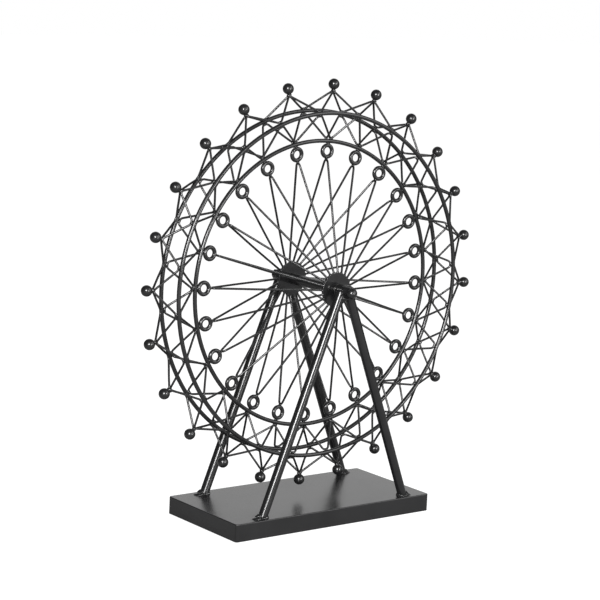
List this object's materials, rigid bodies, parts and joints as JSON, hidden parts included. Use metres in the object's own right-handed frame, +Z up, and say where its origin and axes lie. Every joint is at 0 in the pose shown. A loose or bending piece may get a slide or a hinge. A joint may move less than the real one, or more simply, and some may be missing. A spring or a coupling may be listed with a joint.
{
  "type": "tabletop ferris wheel ornament",
  "caption": "Tabletop ferris wheel of black painted wire that turns on an axle between two A-frames on a low box base, with balls around its rim.",
  "frame": {"origin": "on the surface it stands on, under the middle of the axle", "axes": "+Z up; the wheel turns about an axle along Y; -Y is the front; the base is longest along X"},
  "size_m": [0.3727, 0.1208, 0.3992],
  "materials": {
    "black_paint": "satin black paint over welded steel wire and bar",
    "black_paint_base": "satin black paint on folded sheet steel",
    "plain_steel": "bare turned steel, lightly oiled",
    "felt": "thin black felt"
  },
  "bodies": {
    "stand": {"base_shell": "black_paint_base", "base_plate": "black_paint_base", "base_felt": "felt", "leg_front_left": "black_paint", "leg_front_right": "black_paint", "leg_rear_left": "black_paint", "leg_rear_right": "black_paint", "bearing_front": "black_paint", "bearing_rear": "black_paint", "axle": "plain_steel", "cap_nut_front": "black_paint", "cap_nut_rear": "black_paint", "thrust_washer_front": "plain_steel", "thrust_washer_rear": "plain_steel"},
    "wheel": {"hub_tube": "black_paint", "hub_disc_front": "black_paint", "hub_disc_rear": "black_paint", "outer_ring_front": "black_paint", "outer_ring_rear": "black_paint", "inner_ring": "black_paint", "outer_lattice_front": "black_paint", "outer_lattice_rear": "black_paint", "inner_lattice_front": "black_paint", "inner_lattice_rear": "black_paint", "spokes_front": "black_paint", "spokes_rear": "black_paint", "eyelets": "black_paint", "ball_01": "black_paint", "ball_02": "black_paint", "ball_03": "black_paint", "ball_04": "black_paint", "ball_05": "black_paint", "ball_06": "black_paint", "ball_07": "black_paint", "ball_08": "black_paint", "ball_09": "black_paint", "ball_10": "black_paint", "ball_11": "black_paint", "ball_12": "black_paint", "ball_13": "black_paint", "ball_14": "black_paint", "ball_15": "black_paint", "ball_16": "black_paint", "ball_17": "black_paint", "ball_18": "black_paint", "ball_19": "black_paint", "ball_20": "black_paint", "ball_21": "black_paint", "ball_22": "black_paint", "ball_23": "black_paint", "ball_24": "black_paint"}
  },
  "joints": [
    {"name": "wheel_spin", "type": "hinge", "parent": "stand", "child": "wheel", "pos_m": [0, 0, 0.2135], "axis": [0, 1, 0], "continuous": true}
  ]
}
